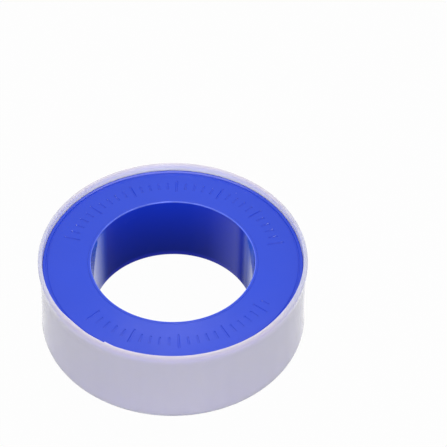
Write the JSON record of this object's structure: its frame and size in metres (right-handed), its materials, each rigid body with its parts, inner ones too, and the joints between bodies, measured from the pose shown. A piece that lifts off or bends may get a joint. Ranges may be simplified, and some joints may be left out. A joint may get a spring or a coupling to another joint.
{
  "type": "thread seal tape roll",
  "caption": "Roll of thin white thread seal tape wound on a flanged blue spool that sits in a milky open round case and lifts out of it.",
  "frame": {"origin": "centre of the case's foot, on the surface that the roll lies on", "axes": "+Z along the spool's bore, out of the open side of the case; +X and +Y are across the roll"},
  "size_m": [0.0522, 0.0522, 0.0169],
  "materials": {
    "case": "milky translucent, smooth",
    "spool": "smooth glossy blue",
    "tape": "soft matte white film"
  },
  "bodies": {
    "case": {"case_shell": "case"},
    "spool": {"spool_hub": "spool", "upper_flange": "spool", "lower_flange": "spool"},
    "tape": {"tape_winding": "tape", "tape_tail": "tape"}
  },
  "joints": [
    {"name": "spool_lift", "type": "slide", "parent": "case", "child": "spool", "axis": [0, 0, 1], "range_m": [0, 0.025]},
    {"name": "tape_turn", "type": "hinge", "parent": "spool", "child": "tape", "pos_m": [0, 0, 0.0081], "axis": [0, 0, 1], "continuous": true}
  ]
}
